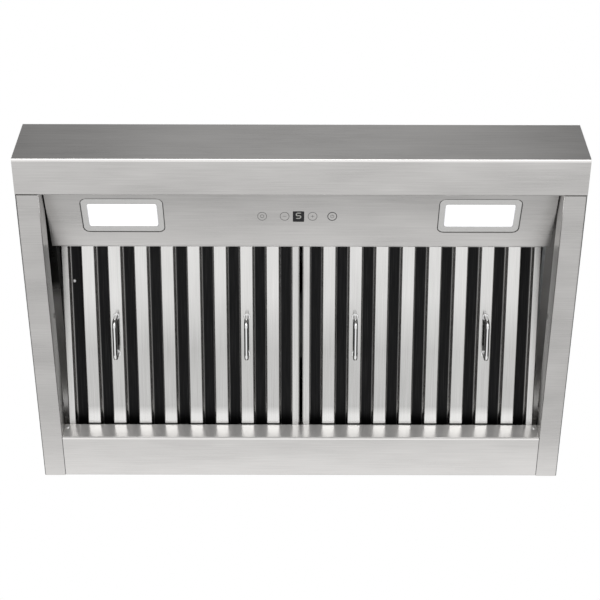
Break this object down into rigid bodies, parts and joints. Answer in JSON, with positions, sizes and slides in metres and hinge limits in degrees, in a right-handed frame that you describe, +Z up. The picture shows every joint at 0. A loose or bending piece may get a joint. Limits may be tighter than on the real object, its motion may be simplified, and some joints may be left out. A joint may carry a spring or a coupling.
{
  "type": "range hood insert",
  "caption": "Stainless range hood insert with a sloped lamp and touch panel, baffle filters over a rear grease trough, a scroll blower and a round duct collar with damper flaps.",
  "frame": {"origin": "middle of the footprint, in the plane of the rim's underside", "axes": "+X along the width to the right as seen from the front, +Y from the front face to the rear, +Z up towards the duct collar; the front face looks along -Y"},
  "size_m": [0.76, 0.526, 0.3293],
  "materials": {
    "brushed_steel": "brushed along the width, satin",
    "polished_steel": "bright rolled, nearly mirror, fine lengthwise grain",
    "back_steel": "dark in the shade of the face baffles",
    "chrome_wire": "bright plated wire",
    "galvanised": "galvanised sheet, faint spangle",
    "spring_steel": "plain bright steel",
    "lamp_lens": "white diffuser, lit",
    "black_glass": "gloss black window with a pale figure",
    "circuit_board": "green solder mask",
    "black_paint": "satin black",
    "grey_plastic": "moulded, fine texture",
    "wheel_black": "satin black",
    "rubber": "matt",
    "wire_insulation": "smooth sleeve"
  },
  "bodies": {
    "hood": {"front_panel": "brushed_steel", "left_side_panel": "brushed_steel", "right_side_panel": "brushed_steel", "rear_panel": "brushed_steel", "lamp_panel": "brushed_steel", "roof_panel": "galvanised", "chamber_wrap": "galvanised", "chamber_left_end": "galvanised", "chamber_right_end": "galvanised", "left_lamp_housing": "galvanised", "right_lamp_housing": "galvanised", "volute_wrap": "galvanised", "volute_left_plate": "galvanised", "volute_right_plate": "galvanised", "motor_bracket": "galvanised", "capacitor_clip": "galvanised", "duct_collar": "galvanised", "junction_box": "galvanised", "junction_cover": "galvanised", "left_lamp_bezel": "polished_steel", "left_lamp_lens": "lamp_lens", "left_lamp_led_board": "circuit_board", "left_lamp_lead": "wire_insulation", "left_filter_catch_1": "spring_steel", "left_filter_catch_2": "spring_steel", "right_lamp_bezel": "polished_steel", "right_lamp_lens": "lamp_lens", "right_lamp_led_board": "circuit_board", "right_lamp_lead": "wire_insulation", "right_filter_catch_1": "spring_steel", "right_filter_catch_2": "spring_steel", "touch_board": "circuit_board", "display_window": "black_glass", "control_box": "grey_plastic", "control_box_lid": "grey_plastic", "motor_body": "black_paint", "capacitor": "grey_plastic", "damper_rod": "spring_steel", "wire_bushing": "rubber", "motor_lead": "wire_insulation", "supply_lead": "wire_insulation"},
    "left_filter": {"left_filter_face_baffles": "polished_steel", "left_filter_outer_channel": "polished_steel", "left_filter_inner_channel": "polished_steel", "left_filter_back_baffles": "back_steel", "left_filter_handle_1": "chrome_wire", "left_filter_handle_2": "chrome_wire"},
    "right_filter": {"right_filter_face_baffles": "polished_steel", "right_filter_outer_channel": "polished_steel", "right_filter_inner_channel": "polished_steel", "right_filter_back_baffles": "back_steel", "right_filter_handle_1": "chrome_wire", "right_filter_handle_2": "chrome_wire"},
    "blower_rotor": {"wheel_disc": "wheel_black", "wheel_left_blades": "wheel_black", "wheel_right_blades": "wheel_black", "motor_shaft": "spring_steel"},
    "damper_front": {"damper_flap_front": "galvanised"},
    "damper_rear": {"damper_flap_rear": "galvanised"}
  },
  "joints": [
    {"name": "left_filter_hinge", "type": "hinge", "parent": "hood", "child": "left_filter", "pos_m": [-0.17272, 0.1933, 0.0314], "axis": [1, 0, 0], "range_deg": [0, 75]},
    {"name": "right_filter_hinge", "type": "hinge", "parent": "hood", "child": "right_filter", "pos_m": [0.17272, 0.1933, 0.0314], "axis": [1, 0, 0], "range_deg": [0, 75]},
    {"name": "blower_spin", "type": "hinge", "parent": "hood", "child": "blower_rotor", "pos_m": [0, 0.122, 0.199], "axis": [1, 0, 0], "continuous": true},
    {"name": "damper_front_hinge", "type": "hinge", "parent": "hood", "child": "damper_front", "pos_m": [0, 0.067, 0.3053], "axis": [-1, 0, 0], "range_deg": [0, 75]},
    {"name": "damper_rear_hinge", "type": "hinge", "parent": "hood", "child": "damper_rear", "pos_m": [0, 0.067, 0.3053], "axis": [1, 0, 0], "range_deg": [0, 75]}
  ]
}
